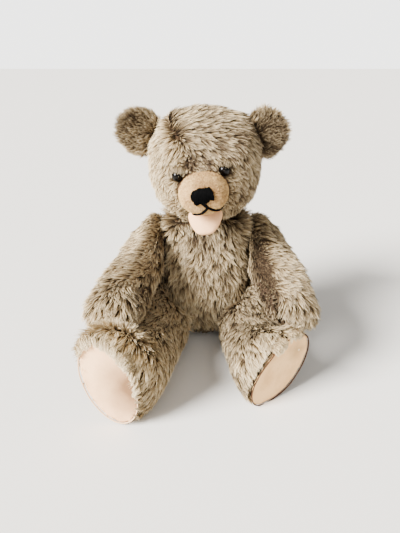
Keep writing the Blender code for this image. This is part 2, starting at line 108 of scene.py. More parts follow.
class Finish:
    """A material under construction."""

    def __init__(self, name):
        self.material = bpy.data.materials.new(name)
        self.material.use_nodes = True
        self.tree = self.material.node_tree
        self.shader = self.tree.nodes["Principled BSDF"]

    def node(self, kind, settings=None, inputs=None, output=0):
        made = self.tree.nodes.new("ShaderNode" + kind)
        for key, value in (settings or {}).items():
            if key == "stops":
                set_stops(made, value)
            else:
                setattr(made, key, value)
        for key, value in (inputs or {}).items():
            set_input(self.tree, made.inputs[key], value)
        return Sum(self.tree, made.outputs[output])

    def place(self):
        return self.node("TexCoord", output="Object")

    def noise(self, scale, detail=3.0, rough=0.5, vector=None, distortion=0.0):
        inputs = {"Scale": scale, "Detail": detail, "Roughness": rough, "Distortion": distortion}
        inputs["Vector"] = vector or self.place()
        return self.node("TexNoise", inputs=inputs)

    def ramp(self, factor, *stops):
        return self.node("ValToRGB", {"stops": stops}, {"Fac": factor})

    def spread(self, value, low, high, start=0.0, end=1.0):
        inputs = {"Value": value, "From Min": low, "From Max": high, "To Min": start, "To Max": end}
        return self.node("MapRange", {"clamp": True}, inputs)

    def mix(self, factor, first, second):
        return self.node("Mix", {"data_type": "RGBA"}, {0: factor, 6: first, 7: second}, 2)

    def far_from(self, centre):
        return self.node("VectorMath", {"operation": "DISTANCE"}, {0: self.place(), 1: centre}, 1)

    def bump(self, height, strength, distance):
        return self.node("Bump", inputs={"Height": height, "Strength": strength, "Distance": distance})

    def set(self, **inputs):
        for key, value in inputs.items():
            set_input(self.tree, self.shader.inputs[key.replace("_", " ")], value)
        return self.material


def rgb(red, green, blue):
    """Linear colour from the 0 to 255 values on a paint card."""
    return tuple(((c / 255 + 0.055) / 1.055) ** 2.4 if c > 10 else c / 3294.6 for c in (red, green, blue))


def pile_finish(name, pale, dark):
    """Mohair: u runs from pale locks to dark ones, and v from the root of a strand to its tip."""
    made = Finish(name)
    uv = made.node("UVMap", {"uv_map": "OFBake"})
    split = made.node("SeparateXYZ", inputs={"Vector": uv})
    along = Sum(made.tree, split.socket.node.outputs[1])
    ends = [made.ramp(along, *zip((0.0, 0.4, 0.72, 1.0), (rgb(*c) for c in colours))) for colours in (pale, dark)]
    colour = made.mix(split, *ends)
    made.set(Base_Color=colour, Roughness=0.75)
    made.set(Specular_IOR_Level=0.1)
    return made.material


def backing_finish():
    """The backing cloth with short dense roots, seen only between the locks."""
    made = Finish("mohair_backing")
    patch = made.noise(45, 4, 0.6)
    grain = made.noise(900, 2, 0.6)
    colour = made.ramp(patch * 0.6 + grain * 0.4, (0.3, rgb(42, 31, 21)), (0.7, rgb(76, 58, 41)))
    made.set(Base_Color=colour, Roughness=0.95, Normal=made.bump(grain, 0.8, 0.002))
    made.set(Specular_IOR_Level=0.1)
    return made.material


def shorn_finish():
    made = Finish("shorn_mohair")
    patch = made.noise(34, 3, 0.5)
    soil = made.noise(75, 5, 0.65)
    grain = made.noise(1100, 3, 0.7)
    colour = made.ramp(patch, (0.35, rgb(178, 138, 88)), (0.65, rgb(200, 162, 112)))
    colour = made.mix(made.spread(soil, 0.45, 0.68, 0, 0.6), colour, rgb(128, 88, 52))
    colour = made.mix(grain * 0.3, colour, rgb(140, 100, 62))
    made.set(Base_Color=colour, Roughness=0.9, Normal=made.bump(grain, 0.9, 0.002))
    made.set(Specular_IOR_Level=0.1)
    return made.material


def felt_finish(name, clean, soiled, amount, dirt_and_shade_patch=None, spot=None):
    """Wool felt: matted fibres, soil that gathers in patches, and where asked one darker patch and one worn spot. The
    darker patch is dirt on the soles and painted shade of a fold on the jaw.
    """
    made = Finish(name)
    fibres = made.noise(1300, 3, 0.7, distortion=1.5)
    matting = made.noise(260, 3, 0.6, distortion=0.6)
    soil = made.noise(42, 5, 0.6)
    colour = made.mix(made.spread(soil, 0.42, 0.72, 0, amount), clean, soiled)
    colour = made.mix(made.spread(fibres, 0.35, 0.75, 0, 0.14), colour, soiled)
    if dirt_and_shade_patch:
        middle, reach, strength = dirt_and_shade_patch
        away = made.far_from(middle) + made.noise(70, 3, 0.5) * 0.012
        dirt_and_shade_share = made.spread(away, reach, reach * 0.3, 0, strength)
        colour = made.mix(dirt_and_shade_share, colour, rgb(112, 82, 56))
    if spot:
        middle, reach = spot
        away = made.far_from(middle) + made.noise(400, 2, 0.5) * 0.002
        bare = made.spread(away, reach, reach * 0.8, 0, 1)
        colour = made.mix(bare, colour, rgb(255, 236, 200))
    height = fibres * 0.5 + matting * 0.5
    made.set(Base_Color=colour, Roughness=0.95, Normal=made.bump(height, 0.45, 0.0008))
    made.set(Specular_IOR_Level=0.1)
    return made.material


def thread_finish(name, colour, gloss):
    made = Finish(name)
    twist = made.node("TexWave", inputs={"Vector": made.place(), "Scale": 420.0, "Distortion": 3.0, "Detail": 2.0})
    shade = made.mix(twist * 0.5, colour, tuple(c * 1.8 for c in colour))
    made.set(Base_Color=shade, Roughness=0.6, Normal=made.bump(twist, 0.3, 0.0004))
    made.set(Specular_IOR_Level=gloss)
    return made.material


def glass_finish():
    made = Finish("eye_glass")
    depth = made.node("Fresnel", inputs={"IOR": 1.5})
    colour = made.mix(depth, (0.0012, 0.0008, 0.0006), (0.004, 0.002, 0.001))
    smear = made.noise(240, 3, 0.6)
    made.set(Base_Color=colour, Roughness=made.spread(smear, 0.4, 0.7, 0.04, 0.16))
    made.set(Specular_IOR_Level=0.14)
    return made.material


def board_finish(name, colour, layers):
    """Pressed board or card: flecked fibres with faint layers."""
    made = Finish(name)
    fleck = made.noise(700, 4, 0.7)
    ply = made.node("TexWave", inputs={"Vector": made.place(), "Scale": layers, "Distortion": 2.0, "Detail": 2.0})
    tone = made.mix(fleck * 0.6 + ply * 0.2, tuple(c * 0.6 for c in colour), colour)
    made.set(Base_Color=tone, Roughness=0.85, Normal=made.bump(fleck, 0.3, 0.0005))
    return made.material


def steel_finish():
    """Dull old steel with a little rust."""
    made = Finish("dull_steel")
    rust = made.spread(made.noise(180, 5, 0.65), 0.5, 0.7, 0, 0.8)
    tone = made.mix(rust, rgb(150, 148, 144), rgb(96, 56, 32))
    made.set(Base_Color=tone, Metallic=made.spread(rust, 0, 1, 1, 0.1), Roughness=made.spread(rust, 0, 1, 0.35, 0.9))
    return made.material


# Meshes

def linked(name, data):
    obj = bpy.data.objects.new(name, data)
    bpy.context.scene.collection.objects.link(obj)
    return obj


def values_of(vertices, kind="co"):
    """The places or normals of a mesh's points, one row each."""
    values = np.empty(len(vertices) * 3)
    vertices.foreach_get(kind, values)
    return values.reshape(-1, 3)


def only(obj):
    bpy.ops.object.select_all(action="DESELECT")
    obj.select_set(True)
    bpy.context.view_layer.objects.active = obj
    return obj


def apply_all(obj):
    only(obj)
    for modifier in list(obj.modifiers):
        bpy.ops.object.modifier_apply(modifier=modifier.name)


def joined_copy(name, *nodes):
    """One mesh of merged copies of the frame's own solids."""
    bm = bmesh.new()
    for node in nodes:
        bm.from_mesh(NODES[node].data)
    bmesh.ops.remove_doubles(bm, verts=bm.verts, dist=1e-5)
    mesh = bpy.data.meshes.new(name)
    bm.to_mesh(mesh)
    bm.free()
    return linked(name, mesh)


def remeshed(name, nodes, voxel):
    obj = joined_copy(name, *nodes)
    remesh = obj.modifiers.new("remesh", "REMESH")
    remesh.mode = "VOXEL"
    remesh.voxel_size = voxel
    apply_all(obj)
    return obj


def keep_largest(obj):
    """Takes away closed bubbles that the remesh leaves round the hardware inside."""
    bm = bmesh.new()
    bm.from_mesh(obj.data)
    left = set(bm.verts)
    groups = []
    while left:
        seed = left.pop()
        group = {seed}
        queue = [seed]
        while queue:
            for edge in queue.pop().link_edges:
                for vert in edge.verts:
                    if vert in left:
                        left.remove(vert)
                        group.add(vert)
                        queue.append(vert)
        groups.append(group)
    groups.sort(key=len)
    bmesh.ops.delete(bm, geom=[v for g in groups[:-1] for v in g], context="VERTS")
    bm.to_mesh(obj.data)
    bm.free()


def swell(obj, cap):
    """Lets the stuffing press the skin out under cloth simulation, no further than the cap."""
    before = values_of(obj.data.vertices)
    cloth = obj.modifiers.new("swell", "CLOTH")
    cloth.settings.use_pressure = True
    cloth.settings.uniform_pressure_force = 4
    cloth.settings.effector_weights.gravity = 0
    for step in range(1, 21):
        bpy.context.scene.frame_set(step)
    only(obj)
    bpy.ops.object.modifier_apply(modifier="swell")
    bpy.context.scene.frame_set(1)
    move = values_of(obj.data.vertices) - before
    far = np.linalg.norm(move, axis=1, keepdims=True)
    move *= np.minimum(1, cap / np.maximum(far, 1e-9))
    obj.data.vertices.foreach_set("co", (before + move).ravel())
    obj.data.update()


def stuffed_skin(name, nodes, body, inset=UNDER_PILE, voxel=0.005, cap=0.0015, passes=6):
    """A sewn and stuffed skin that follows the frame's solids from just inside them."""
    obj = remeshed(name, nodes, voxel)
    keep_largest(obj)
    soften = obj.modifiers.new("soften", "SMOOTH")
    soften.iterations = passes
    shrink = obj.modifiers.new("shrink", "DISPLACE")
    shrink.mid_level = 0
    shrink.strength = -inset
    apply_all(obj)
    swell(obj, cap)
    round_off = obj.modifiers.new("round_off", "SUBSURF")
    round_off.levels = round_off.render_levels = 1
    apply_all(obj)
    bpy.ops.object.shade_smooth()
    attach(obj, body)
    return obj


def reshape(obj, change):
    """Moves the points of a skin by a smooth change of their places."""
    places = values_of(obj.data.vertices)
    obj.data.vertices.foreach_set("co", (places + change(places)).ravel())
    obj.data.update()


def dress(obj, finish, slot, fill, *nodes):
    """Gives a soft piece its finish and hides the solids that it stands for."""
    obj.data.materials.clear()
    obj.data.materials.append(finish)
    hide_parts(*nodes)
    return obj


def soft_copy(name, node, body, voxel, passes):
    """A small pad: its solid remeshed finely and softened at its edges."""
    obj = remeshed(name, [node], voxel)
    soften = obj.modifiers.new("soften", "SMOOTH")
    soften.iterations = passes
    apply_all(obj)
    bpy.ops.object.shade_smooth()
    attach(obj, body)
    return obj


def thread(name, lines, radius, body, finish, cyclic=False):
    """Stitches: one round thread along each line of points."""
    curve = bpy.data.curves.new(name, "CURVE")
    curve.dimensions = "3D"
    curve.bevel_depth = radius
    curve.bevel_resolution = 2
    curve.use_fill_caps = True
    for line in lines:
        spline = curve.splines.new("POLY")
        spline.points.add(len(line) - 1)
        spline.use_cyclic_u = cyclic
        for point, place in zip(spline.points, line):
            point.co = (*place, 1)
    only(linked(name, curve))
    bpy.ops.object.convert(target="MESH")
    obj = bpy.context.object
    bpy.ops.object.shade_smooth()
    obj.data.materials.clear()
    obj.data.materials.append(finish)
    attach(obj, body)
    return obj


def arrays_of(obj):
    """Corner points, corner normals and areas of the triangles of a mesh."""
    mesh = obj.data
    mesh.calc_loop_triangles()
    count = len(mesh.loop_triangles)
    index = np.empty(count * 3, np.int32)
    mesh.loop_triangles.foreach_get("vertices", index)
    index = index.reshape(-1, 3)
    corners = values_of(mesh.vertices)[index]
    return corners, values_of(mesh.vertices, "normal")[index], np.linalg.norm(square_to(corners), axis=1) / 2


def square_to(corners):
    """A vector square to each triangle, twice as long as the triangle's area."""
    return np.cross(corners[:, 1] - corners[:, 0], corners[:, 2] - corners[:, 0])


def unit(v):
    return v / np.maximum(np.linalg.norm(v, axis=-1, keepdims=True), 1e-9)


def nearest(points, centres):
    """For each point, the index of the nearest centre."""
    tree = kdtree.KDTree(len(centres))
    for k, centre in enumerate(centres):
        tree.insert(centre, k)
    tree.balance()
    return np.array([tree.find(p)[1] for p in points])


def wander(points, scale, seed):
    """Smooth noise from -1 to 1 over space: a few sine waves in seeded directions."""
    rng = np.random.default_rng(seed)
    total = np.zeros(len(points))
    for k in range(7):
        way = unit(rng.normal(size=3)) * scale * rng.uniform(0.6, 1.7)
        total += np.sin(points @ way + rng.uniform(0, 2 * pi))
    return total / 3.5


def roots_on(skin, count, weight, rng):
    """Roots spread over a skin, with the normal at each. The weight thins them out where it is small."""
    corners, normals, areas = arrays_of(skin)
    middle = corners.mean(axis=1)
    facing = unit(normals.mean(axis=1))
    chance = areas * np.clip(weight(middle, facing), 0, None)
    chance = chance / chance.sum()
    chosen = rng.choice(len(chance), size=count, p=chance)
    a, b = rng.random((2, count))
    over = a + b > 1
    a[over], b[over] = 1 - a[over], 1 - b[over]
    share = np.stack([1 - a - b, a, b], axis=1)[:, :, None]
    return (corners[chosen] * share).sum(axis=1), unit((normals[chosen] * share).sum(axis=1))


def make_pile(name, skin, body, count, groom, seed, steps=2):
    """Locks of pile on a skin. Each strand is a thin blade that tapers, and bends towards its lock's tip."""
    rng = np.random.default_rng(seed)
    root, normal = roots_on(skin, count, groom["weight"], rng)
    flow = groom["flow"](root, normal)
    flow = unit(flow - (flow * normal).sum(axis=1, keepdims=True) * normal)
    side = np.cross(normal, flow)
    # Locks, and tufts of a few locks that lean the same way
    lock_heads = rng.choice(count, size=max(8, int(count / groom.get("per_lock", 7))), replace=False)
    lock = lock_heads[nearest(root, root[lock_heads])]
    tuft_heads = rng.choice(count, size=max(4, int(count / 70)), replace=False)
    tuft = tuft_heads[nearest(root, root[tuft_heads])]
    length = groom["length"](root, normal) * (0.85 + 0.3 * rng.random(count)[lock]) * rng.uniform(0.7, 1.1, count)
    lift = groom["lift"](root, normal) * (0.75 + 0.3 * rng.random(count)[lock] + 0.3 * rng.random(count)[tuft])
    drift = rng.normal(size=count)[tuft] * groom.get("drift", 0.25) + rng.normal(size=count)[lock] * 0.16
    drift += rng.normal(size=count) * 0.09
    way = unit(flow + side * drift[:, None])
    reach = length[:, None]
    up = np.clip(lift, 0.05, 1.2)[:, None]
    lean = way * np.cos(up) + normal * np.sin(up)
    tip = root + reach * lean
    lock_tip = (root + reach * 1.02 * lean)[lock] + (root - root[lock]) * groom.get("spread", 0.35)
    pull = groom.get("pull", 0.6) * rng.uniform(0.55, 1.1, count)[:, None]
    tip += (lock_tip - tip) * pull
    bend = root + normal * reach * (0.30 * np.sin(up) + 0.16) + way * reach * 0.34
    # Blades
    wave = groom.get("wave", 0.06) * (0.4 + rng.random(count)[lock])[:, None] * reach
    phase = (rng.random(count)[lock] * 2 * pi + rng.normal(size=count) * 0.4)[:, None]
    width = groom.get("width", STRAND_WIDTH) * rng.uniform(0.7, 1.3, count)[:, None]
    rows = []
    for k in range(steps + 1):
        t = k / steps
        point = root * (1 - t) ** 2 + bend * 2 * t * (1 - t) + tip * t * t
        rows.append(point + side * wave * np.sin(phase + t * 4.5) * t)
    points = np.empty((count, 2 * steps + 1, 3))
    roll = rng.normal(size=count)[:, None] * 0.8
    for k in range(steps):
        ahead = unit(rows[k + 1] - rows[max(k - 1, 0)])
        across = unit(np.cross(normal, ahead))
        half = unit(across + normal * roll) * width * (1 - 0.4 * k / steps) / 2
        points[:, 2 * k] = rows[k] - half
        points[:, 2 * k + 1] = rows[k] + half
    points[:, -1] = rows[-1]
    tint = groom["tint"](root, normal) + 0.3 * (rng.random(count)[lock] - 0.5) + 0.2 * (rng.random(count)[tuft] - 0.5)
    # Some strands and some whole locks are made dark: painted shade in the deep spaces between the locks.
    shade_gaps = groom.get("shade_gaps", constant(0.24))(root, normal)
    tint += groom.get("fleck", 0.3) * (rng.random(count) - 0.5) + 0.35 * (rng.random(count) < shade_gaps)
    tint += 0.45 * (rng.random(count)[lock] < shade_gaps)
    start = groom.get("start", constant(0.0))(root, normal)[:, None]
    return blades(name, points, tint, steps, body, start, groom.get("finish"))


def blades(name, points, tint, steps, body, start, finish=None):
    """The mesh of all the strands of one coat: quads up each blade and a triangle at its tip."""
    count, per = points.shape[:2]
    points[:, :, 2] = np.maximum(points[:, :, 2], ABOVE_FLOOR)
    tint = np.clip(tint, *TINTS)
    quads = [(2 * k, 2 * k + 1, 2 * k + 3, 2 * k + 2) for k in range(steps - 1)]
    last = (2 * steps - 2, 2 * steps - 1, 2 * steps)
    pattern = np.array([c for q in quads for c in q] + list(last))
    sizes = np.array([4] * len(quads) + [3])
    loops = (np.arange(count)[:, None] * per + pattern).ravel().astype(np.int32)
    totals = np.tile(sizes, count)
    starts = np.concatenate([[0], np.cumsum(totals)[:-1]]).astype(np.int32)
    mesh = bpy.data.meshes.new(name)
    mesh.vertices.add(count * per)
    mesh.vertices.foreach_set("co", points.astype(np.float32).ravel())
    mesh.loops.add(len(loops))
    mesh.loops.foreach_set("vertex_index", loops)
    mesh.polygons.add(len(totals))
    mesh.polygons.foreach_set("loop_start", starts)
    layer = mesh.uv_layers.new(name="OFBake")
    along = np.append(np.repeat(np.arange(steps) / steps, 2), 1.0)
    aside = np.append(np.tile([-0.012, 0.012], steps), 0.0)
    uv = np.empty((count, per, 2))
    uv[:, :, 0] = np.clip(tint[:, None] + aside, 0.001, 0.999)
    uv[:, :, 1] = 0.01 + 0.98 * (start + (1 - start) * along)
    layer.data.foreach_set("uv", uv.reshape(-1, 2)[loops].astype(np.float32).ravel())
    mesh.update(calc_edges=True)
    mesh.shade_smooth()
    obj = linked(name, mesh)
    obj.data.materials.append(finish or PILE)
    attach(obj, body)
    return obj


PILE = pile_finish(
    "mohair_pile",
    ((50, 38, 25), (115, 94, 66), (191, 168, 129), (243, 226, 189)),
    ((16, 12, 8), (34, 26, 18), (65, 51, 37), (103, 84, 63)),
)
CLIPPED = pile_finish(
    "clipped_pile",
    ((134, 96, 54), (170, 132, 82), (196, 160, 104), (216, 184, 126)),
    ((40, 26, 14), (76, 50, 28), (112, 78, 46), (150, 110, 68)),
)
BACKING = backing_finish()
SHORN = shorn_finish()
GLASS = glass_finish()
PAW_FELT = felt_finish("paw_felt", rgb(62, 48, 36), rgb(42, 32, 24), 0.7)
SOLES = {
    "right": felt_finish(
        "sole_felt_pink", rgb(246, 200, 152), rgb(200, 150, 106), 0.4,
        dirt_and_shade_patch=((-0.068, -0.205, 0.044), 0.052, 0.95),
    ),
    "left": felt_finish(
        "sole_felt_tan", rgb(255, 210, 150), rgb(196, 140, 90), 0.5,
        dirt_and_shade_patch=((0.090, -0.1505, 0.052), 0.022, 0.45), spot=((0.0935, -0.1487, 0.0505), 0.0026),
    ),
}
JAW_FELT = felt_finish(
    "jaw_felt", rgb(240, 190, 142), rgb(204, 148, 104), 0.4,
    # The darker patch near the top of the jaw is painted shade along a fold.
    dirt_and_shade_patch=((0.008, -0.095, 0.1735), 0.011, 0.6),
)
BLACK = thread_finish("black_thread", (0.0012, 0.0012, 0.0013), 0.012)
PALE_SEAM = thread_finish("pale_seam_thread", rgb(206, 172, 136), 0.1)
SEAM = thread_finish("seam_thread", rgb(62, 40, 26), 0.1)


def near_joint(points, body, radius):
    """1 well away from the flat of a body's joint, 0 on it."""
    centre, direction = JOINTS[body]
    along = (points - centre) @ direction
    away = np.linalg.norm(points - centre - along[:, None] * direction, axis=1)
    flat = (np.abs(along) < 0.007) & (away < radius)
    return np.where(flat, 0.0, 1.0)


def constant(value):
    return lambda p, n: np.full(len(p), value)


def smooth(x, low, high):
    t = np.clip((x - low) / (high - low), 0, 1)
    return t * t * (3 - 2 * t)


# Torso

def torso_flow(p, n):
    out = np.zeros_like(p)
    out[:, 2] = -1
    out[:, 0] = 0.35 * wander(p, 90, 3) + 3 * p[:, 0] * smooth(p[:, 2], 0.06, 0.13)
    out[:, 0] -= 5 * p[:, 0] * smooth(p[:, 2], 0.06, 0.0)
    out[:, 1] = 0.35 * smooth(-p[:, 2], -0.03, 0.02)
    out[:, 0] += 1.5 * np.sign(p[:, 0]) * shoulder(p)
    return out


def torso_weight(p, n):
    keep = np.ones(len(p))
    for body in JOINTS:
        keep *= near_joint(p, body, 0.03 if body == "head" else 0.017)
    return keep * np.where(n[:, 2] < -0.9, 0.2, 1)


def shoulder(p):
    """1 on the two top corners of the body, beside the neck."""
    return smooth(np.abs(p[:, 0]), 0.030, 0.044) * smooth(p[:, 2], 0.126, 0.140)


def flank(p, n):
    """1 on the body's sides below the shoulders, where the arms hang close; the pile there is painted darker as shade.
    """
    return smooth(np.abs(n[:, 0]), 0.6, 0.9) * smooth(p[:, 2], 0.135, 0.12) * smooth(p[:, 1], 0.045, 0.02)


def torso_tint(p, n):
    tone = 0.17 + 0.18 * wander(p, 120, 5)
    tone += 0.22 * smooth(p[:, 2], 0.115, 0.135)
    tone += 0.12 * smooth(np.abs(p[:, 0]), 0.035, 0.055) - 0.5 * shoulder(p)
    # Painted shade on the flanks, between the body and the arms.
    tone += 0.4 * flank(p, n)
    # Painted shade under the belly: darker towards the seat.
    return tone + 0.6 * smooth(p[:, 2], 0.03, 0.008)


def round_seat(p):
    """Draws the edge of the seat in under the belly."""
    low = smooth(p[:, 2], 0.03, 0.0)
    move = -p * np.array((0.28, 0.22, 0.0)) * low[:, None]
    move[:, 1] += low * 9.0 * np.minimum(p[:, 0] ** 2, 0.0014) * (p[:, 1] < 0)
    top = smooth(p[:, 2], 0.100, 0.152) * smooth(p[:, 1], 0.0, 0.045)
    move[:, 1] -= 0.013 * top
    move[:, 2] -= 0.003 * top
    return move


def dress_torso():
    hardware = [n for n in NODES if n.endswith(("_torso_disc", "_torso_washer", "_cotter_pin"))]
    skin = stuffed_skin("torso_skin", ["torso_cover", "torso_stuffing", *hardware], "torso")
    reshape(skin, round_seat)
    dress(skin, BACKING, "mohair", 0.9, "torso_cover", "torso_stuffing")
    groom = {
        "weight": torso_weight,
        "flow": torso_flow,
        "length": lambda p, n: 0.0165 - 0.004 * smooth(p[:, 2], 0.10, 0.15) + 0.006 * shoulder(p),
        "lift": lambda p, n: 0.36 + 0.35 * shoulder(p),
        "shade_gaps": constant(0.27),
        "tint": torso_tint,
        "pull": 0.75,
        "wave": 0.09,
        "drift": 0.3,
    }
    make_pile("torso_pile", skin, "torso", STRANDS["torso"], groom, 11)


# Head

EYES = [np.array((a + b) / 2) for a, b in (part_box("eye_left"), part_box("eye_right"))]
# The two seams of the forehead panel: x at each height
GUSSET_HEIGHTS = (0.2175, 0.2275, 0.2374, 0.2448, 0.2534, 0.2616, 0.275)
GUSSET_RIGHT = (-0.0184, -0.0195, -0.0223, -0.0291, -0.036, -0.0431, -0.046)
GUSSET_LEFT = (0.0215, 0.0275, 0.0332, 0.0357, 0.0382, 0.0405, 0.043)
# Darker places above the bridge of the nose and above each eye
BROW_SHADE = ((0.0112, -0.0527, 0.2443), (0.0295, -0.0551, 0.229), (-0.0200, -0.0585, 0.2265))


def gusset_edges(height):
    return np.interp(height, GUSSET_HEIGHTS, GUSSET_RIGHT), np.interp(height, GUSSET_HEIGHTS, GUSSET_LEFT)


def gusset(p):
    """1 on the forehead panel between its two seams, 0 on the cheeks."""
    right, left = gusset_edges(p[:, 2])
    inside = smooth(np.minimum(p[:, 0] - right, left - p[:, 0]), -0.0015, 0.0015)
    return inside * smooth(p[:, 2], 0.214, 0.219)


def near_seam(p):
    """1 on the two forehead seams, 0 a few millimetres away from them."""
    right, left = gusset_edges(p[:, 2])
    away = np.minimum(np.abs(p[:, 0] - right), np.abs(p[:, 0] - left) + 0.0015)
    return smooth(away, 0.005, 0.001) * smooth(p[:, 2], 0.214, 0.219) * (p[:, 1] < 0)


def head_flow(p, n):
    high = smooth(p[:, 2], 0.22, 0.262)
    top = np.stack([np.ones(len(p)), 0.1 * np.ones(len(p)), -0.75 + 0.65 * high], axis=1)
    top[:, 2] += 0.3 * wander(p, 130, 7) - 0.6 * smooth(p[:, 0], 0.012, 0.035)
    snout = p - np.array((-0.004, -0.06, 0.200))
    snout[:, 1] = 0
    cheek = unit(snout) * smooth(np.linalg.norm(snout, axis=1), 0.05, 0.02)[:, None] * 0.9
    cheek += np.stack([(p[:, 0] + 0.002) * 9, np.full(len(p), 0.25), np.full(len(p), -0.75)], axis=1)
    cheek[:, 0] += 0.25 * wander(p, 80, 9)
    corner = smooth(p[:, 2], 0.243, 0.258) * smooth(-p[:, 1], -0.02, 0.0)
    cheek[:, 2] += 0.35 * corner
    share = gusset(p)[:, None]
    out = top * share + cheek * (1 - share)
    beside = (0.75 * near_seam(p) * smooth(p[:, 2], 0.252, 0.244))[:, None]
    out = unit(out) * (1 - beside) + beside * np.array((0.2, -0.1, -1.0))
    back = smooth(p[:, 1], -0.005, 0.035)[:, None]
    out = out * (1 - back) + back * np.array((0.15, 0.35, -1.0))
    over = brow(p)[:, None]
    return out * (1 - over) + over * np.array((0.15, -0.3, -1.0))


def brow(p):
    """1 just above each eye, where the pile hangs over the glass."""
    share = np.zeros(len(p))
    for eye in EYES:
        near = smooth(np.linalg.norm(p - eye, axis=1), 0.013, 0.009)
        share = np.maximum(share, near * (p[:, 2] > eye[2] + 0.002))
    return share


def off_snout(p):
    """0 on the shorn muzzle, 1 elsewhere on the head."""
    across = (p[:, 0] + 0.004) / 0.0275
    up = (p[:, 2] - 0.195) / 0.0235
    return np.where((p[:, 1] < -0.045) & (np.hypot(across, up) < 1), 0.0, 1.0)


def head_weight(p, n):
    keep = near_joint(p, "head", 0.028) * off_snout(p)
    for eye in EYES:
        keep *= np.where(np.linalg.norm(p - eye, axis=1) < 0.0062, 0.0, 1)
    return keep


def head_length(p, n):
    away = np.linalg.norm(p - np.array((-0.004, -0.062, 0.200)), axis=1)
    length = 0.006 + 0.0085 * smooth(away, 0.026, 0.052)
    length *= 1 - 0.15 * near_seam(p)
    return np.maximum(length, 0.008 * brow(p))


def head_tint(p, n):
    front = gusset(p) * smooth(-p[:, 1], 0.02, 0.035)
    # The near_seam share adds painted shade along the two forehead seams, where the pile parts.
    tone = 0.18 + 0.13 * wander(p, 110, 15) + 0.1 * gusset(p) + 0.08 * near_seam(p)
    tone += front * (0.14 + 0.16 * wander(p, 330, 17) - 0.14 * smooth(p[:, 2], 0.25, 0.268))
    # Painted light and shade: the left cheek, away from the light, is darker, and the right cheek, towards it, paler.
    tone += 0.3 * smooth(p[:, 0], 0.022, 0.038) - 0.3 * smooth(-p[:, 0], 0.02, 0.036) * (1 - gusset(p))
    tone -= 0.15 * smooth(p[:, 1], 0.0, 0.04)
    ridge = gusset_edges(p[:, 2])[0] - p[:, 0]
    tone -= 0.3 * smooth(ridge, -0.001, 0.002) * smooth(ridge, 0.013, 0.007) * smooth(p[:, 2], 0.228, 0.238)
    for place in BROW_SHADE:
        tone += 0.3 * smooth(np.linalg.norm(p - np.array(place), axis=1), 0.009, 0.002)
    # Painted shade round each eye, in its recess.
    for eye in EYES:
        tone += 0.4 * smooth(np.linalg.norm(p - eye, axis=1), 0.014, 0.007)
    return tone


def dress_head():
    inner = ["head_cover", "head_stuffing", "neck_limb_disc", "neck_limb_washer", "muzzle_cover"]
    skin = stuffed_skin("head_skin", inner, "head")
    dress(skin, BACKING, "mohair", 0.95, "head_cover", "head_stuffing")
    groom = {
        "weight": head_weight,
        "flow": head_flow,
        "length": head_length,
        "lift": lambda p, n: 0.26 + 0.08 * gusset(p) + 0.35 * near_seam(p) + 0.5 * brow(p),
        "tint": head_tint,
        "pull": 0.65,
        "wave": 0.05,
        "drift": 0.22,
        "fleck": 0.5,
        # Fewer dark locks on the right cheek: less painted shade on the side towards the light.
        "shade_gaps": lambda p, n: 0.20 + 0.1 * gusset(p) - 0.14 * smooth(-p[:, 0], 0.02, 0.036) * (1 - gusset(p)),
    }
    make_pile("head_pile", skin, "head", STRANDS["head"], groom, 21)
    tree = BVHTree.FromObject(skin, bpy.context.evaluated_depsgraph_get())
    seams = []
    for edge, end in ((0, 0.234), (1, 0.224)):
        seams.append([front_of(tree, gusset_edges(z)[edge], z, 0.0002) for z in np.linspace(0.218, end, 12)])
    thread("gusset_seams", seams, 0.0004, "head", PALE_SEAM)
    for side in ("left", "right"):
        dress_ear(side)
        dress_eye(side)
        dress_brow(side, skin)


def dress_brow(side, skin):
    """Strands of the brow that hang over the upper part of the eye."""
    low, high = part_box(f"eye_{side}")
    eye = np.array((low + high) / 2)
    radius = (high.x - low.x) / 2
    # The left brow's strands are darker than the right's: painted shade on the side away from the light.
    drop, tone, count = (0.0045, 0.5, 80) if side == "left" else (0.0036, 0.3, 100)
    rng = np.random.default_rng(31)
    tree = BVHTree.FromObject(skin, bpy.context.evaluated_depsgraph_get())
    points, tints = [], []
    for across in rng.uniform(-1.1, 1.1, count):
        rise = rng.uniform(0.0065, 0.0125)
        root = np.array(front_of(tree, eye[0] + across * radius * 0.9, eye[2] + rise, -0.0005))
        reach = radius + 0.0006 + rng.uniform(0, 0.0006)
        hang = drop + 0.0012 * abs(across) + rng.normal() * 0.0013
        swing = min(abs(across) / 1.3, 0.9)
        aside = across * radius + 0.0012 + rng.normal() * 0.001
        tip = eye + np.array((aside, -reach * (1 - swing ** 2) ** 0.5, hang))
        bend = np.array(((root[0] + tip[0]) / 2, tip[1] * 0.6 + root[1] * 0.4, root[2] * 0.6 + tip[2] * 0.4))
        half = np.array((1.0, rng.normal(), 0.0)) * 0.00022
        row = []
        for t in (0.0, 0.5):
            middle = root * (1 - t) ** 2 + bend * 2 * t * (1 - t) + tip * t * t
            row += [middle - half, middle + half]
        row.append(tip)
        points.append(row)
        tints.append(tone + rng.uniform(0, 0.4))
    blades(f"brow_{side}", np.array(points), tints, 2, "head", 0.15)


def dress_eye(side):
    """A glass eye: a full round ball in the place of its solid."""
    low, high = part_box(f"eye_{side}")
    radius = (high.x - low.x) / 2
    bpy.ops.object.select_all(action="DESELECT")
    bpy.ops.mesh.primitive_uv_sphere_add(segments=40, ring_count=24, radius=radius, location=(low + high) / 2)
    eye = bpy.context.object
    eye.name = f"eye_{side}_glass"
    bpy.ops.object.transform_apply(location=True, rotation=True, scale=True)
    bpy.ops.object.shade_smooth()
    eye.data.materials.append(GLASS)
    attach(eye, "head")
    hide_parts(f"eye_{side}")


